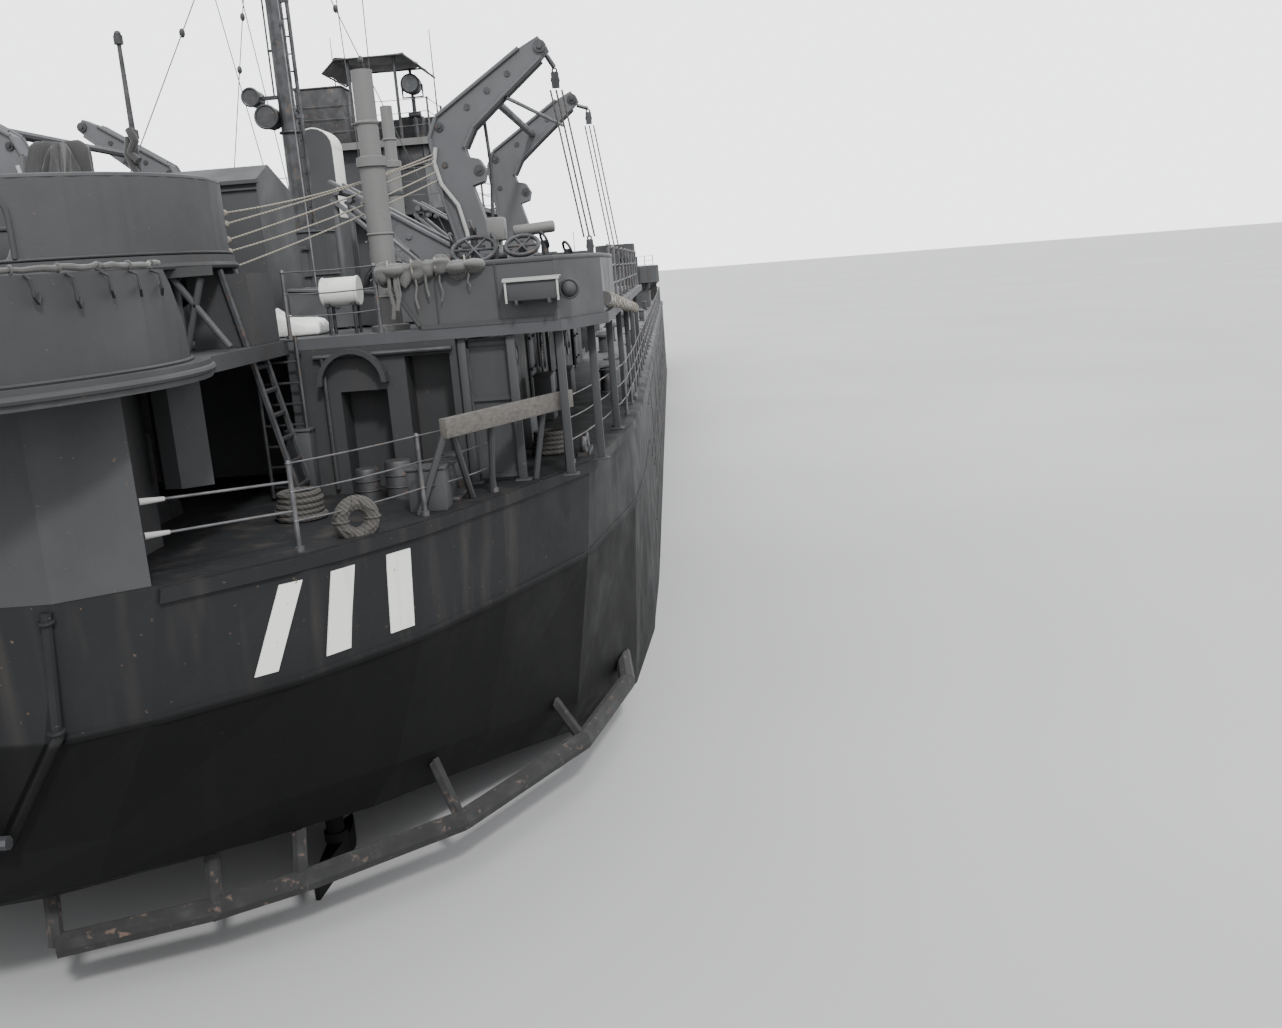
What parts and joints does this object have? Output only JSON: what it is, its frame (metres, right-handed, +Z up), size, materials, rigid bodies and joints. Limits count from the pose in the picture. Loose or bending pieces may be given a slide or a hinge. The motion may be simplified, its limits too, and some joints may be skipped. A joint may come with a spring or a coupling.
{
  "type": "tank landing ship, 1:10 scale model",
  "caption": "Scale model of a tank landing ship with opening bow doors, lowering ramp, hollow tank deck, twin screws and rudders, stern superstructure and travelling boat davits.",
  "frame": {"origin": "Under the middle of the ship at the flat bottom, half way between stern platform and stem.", "axes": "+X to starboard, +Y towards the bow, +Z up."},
  "size_m": [1.524, 10, 2.6],
  "materials": {
    "hull_paint": "weathered flat grey with vertical streaks",
    "deck_paint": "worn dark grey deck paint",
    "house_paint": "weathered flat grey",
    "gear_steel": "dull dark grey with chips and grease",
    "screw_bronze": "dull bronze",
    "canvas": "dark weathered canvas",
    "pale_paint": "pale matt paint"
  },
  "bodies": {
    "ship": {"hull_stern": "hull_paint", "hull_bottom": "hull_paint", "hull_side_starboard": "hull_paint", "hull_side_port": "hull_paint", "main_deck": "deck_paint", "cargo_hatch": "gear_steel", "forecastle": "hull_paint", "bow_bulwark": "hull_paint", "propeller_guard_starboard": "gear_steel", "propeller_guard_port": "gear_steel", "stern_anchor": "gear_steel", "stern_winch": "gear_steel", "poop_block_starboard": "house_paint", "poop_block_port": "house_paint", "side_locker_port": "house_paint", "side_locker_starboard": "house_paint", "stern_platform": "house_paint", "tub_trunk": "house_paint", "raised_tub": "house_paint", "covered_mount": "canvas", "deckhouse": "house_paint", "upper_deck": "deck_paint", "quarter_bulwark_starboard": "house_paint", "quarter_bulwark_port": "house_paint", "trunk_box_starboard": "house_paint", "trunk_box_port": "house_paint", "shelter": "house_paint", "mast_house": "house_paint", "mast": "gear_steel", "galley_stack": "house_paint", "engine_stack": "house_paint", "wheelhouse": "house_paint", "bridge_deck": "house_paint", "conn_station": "house_paint", "conn_canopy": "canvas", "round_locker": "pale_paint", "davit_frames_starboard": "gear_steel", "davit_frames_port": "gear_steel", "boat_winch_starboard": "gear_steel", "boat_winch_port": "gear_steel", "bow_tub": "house_paint", "midship_tub_starboard": "house_paint", "midship_tub_port": "house_paint", "forward_tub_starboard": "house_paint", "forward_tub_port": "house_paint", "anchor_windlass": "gear_steel"},
    "starboard_propeller": {"propeller_starboard": "screw_bronze"},
    "port_propeller": {"propeller_port": "screw_bronze"},
    "starboard_rudder": {"rudder_starboard": "hull_paint"},
    "port_rudder": {"rudder_port": "hull_paint"},
    "starboard_bow_door": {"bow_door_starboard": "hull_paint"},
    "port_bow_door": {"bow_door_port": "hull_paint"},
    "ramp": {"bow_ramp": "gear_steel"},
    "starboard_davit": {"davit_arms_starboard": "gear_steel"},
    "port_davit": {"davit_arms_port": "gear_steel"}
  },
  "joints": [
    {"name": "starboard_propeller_spin", "type": "hinge", "parent": "ship", "child": "starboard_propeller", "pos_m": [0.31, -4.135, 0.14], "axis": [0, 1, 0], "continuous": true},
    {"name": "port_propeller_spin", "type": "hinge", "parent": "ship", "child": "port_propeller", "pos_m": [-0.31, -4.135, 0.14], "axis": [0, 1, 0], "continuous": true},
    {"name": "port_rudder_steer", "type": "hinge", "parent": "ship", "child": "port_rudder", "pos_m": [-0.31, -4.375, 0.2], "axis": [0, 0, 1], "range_deg": [-35, 35]},
    {"name": "starboard_rudder_steer", "type": "hinge", "parent": "ship", "child": "starboard_rudder", "pos_m": [0.31, -4.375, 0.2], "axis": [0, 0, 1], "range_deg": [-35, 35]},
    {"name": "port_bow_door_swing", "type": "hinge", "parent": "ship", "child": "port_bow_door", "pos_m": [-0.34, 4.546, 0.48], "axis": [0, 0, 1], "range_deg": [0, 67]},
    {"name": "starboard_bow_door_swing", "type": "hinge", "parent": "ship", "child": "starboard_bow_door", "pos_m": [0.34, 4.546, 0.48], "axis": [0, 0, -1], "range_deg": [0, 67]},
    {"name": "ramp_lower", "type": "hinge", "parent": "ship", "child": "ramp", "pos_m": [0, 4.154, 0.315], "axis": [-1, 0, 0], "range_deg": [0, 64]},
    {"name": "starboard_davit_travel", "type": "slide", "parent": "ship", "child": "starboard_davit", "axis": [-0.9956, 0, 0.0942], "range_m": [0, 0.275]},
    {"name": "port_davit_travel", "type": "slide", "parent": "ship", "child": "port_davit", "axis": [-0.9956, 0, -0.0942], "range_m": [0, 0.275]}
  ],
  "couplings": [
    {"joint": "starboard_rudder_steer", "follows": "port_rudder_steer", "ratio": 1},
    {"joint": "starboard_bow_door_swing", "follows": "port_bow_door_swing", "ratio": 1},
    {"joint": "ramp_lower", "follows": "port_bow_door_swing", "ratio": 0.955}
  ]
}
